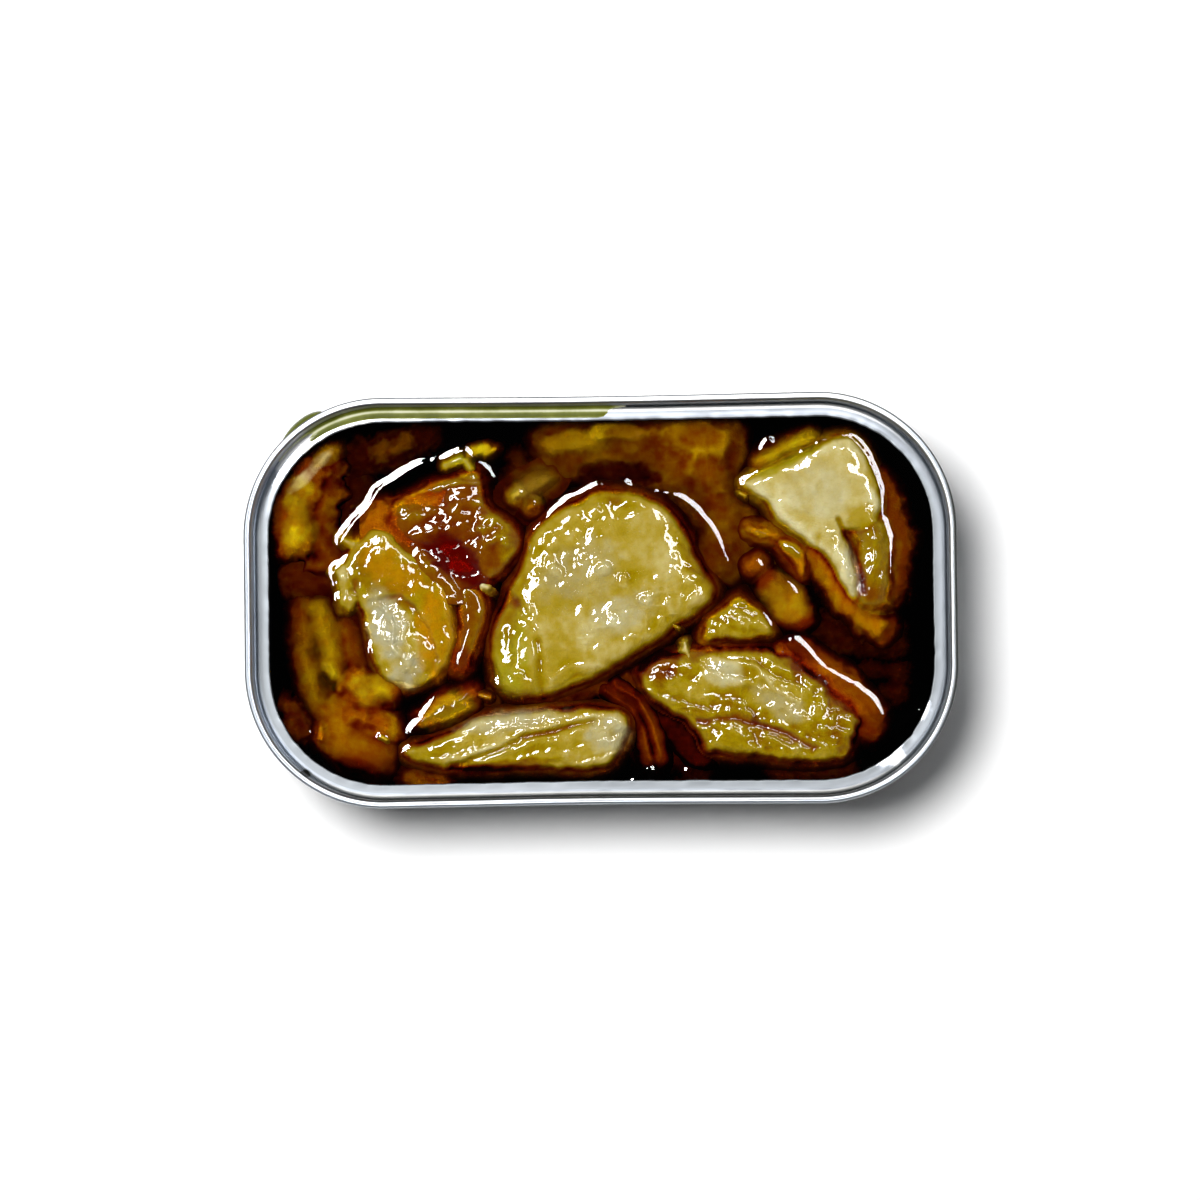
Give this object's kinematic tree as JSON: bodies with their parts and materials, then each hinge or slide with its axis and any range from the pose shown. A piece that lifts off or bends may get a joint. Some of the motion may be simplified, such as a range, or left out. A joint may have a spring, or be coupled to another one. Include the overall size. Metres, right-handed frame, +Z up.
{
  "type": "cod tin",
  "caption": "Open rectangular aluminium fish tin with rounded corners and a double-seamed rim, its lid peeled off, showing chunks of cod in dark oil",
  "frame": {"origin": "middle of the plane that the tin stands on, under the middle of the opening", "axes": "+Z up out of the opening; +X along the tin's long side; +Y across it, away from the camera's lower edge"},
  "size_m": [0.1044, 0.0602, 0.029],
  "materials": {
    "tin": "bright rolled sheet",
    "oil": "clear dark red-brown oil",
    "cod": "oily yellow cod flesh",
    "cod_pale": "oily cream cod flesh",
    "cod_brown": "oily amber-brown cod flesh"
  },
  "bodies": {
    "root": {"can_body": "tin", "end_ring": "tin", "oil": "oil", "cod_centre": "cod", "cod_back_right": "cod_pale", "cod_front_right": "cod", "cod_front_centre": "cod_pale", "cod_left_back": "cod_brown", "cod_left_middle": "cod", "cod_left_strip": "cod_brown", "cod_back_centre": "cod_brown", "cod_far_left_back": "cod", "cod_far_left_front": "cod", "chip_right": "cod", "chip_front_left": "cod_brown", "chip_front_right": "cod_brown", "chip_under_tail": "cod_brown", "lump_right": "cod_brown", "chip_back": "cod_pale"}
  },
  "joints": []
}
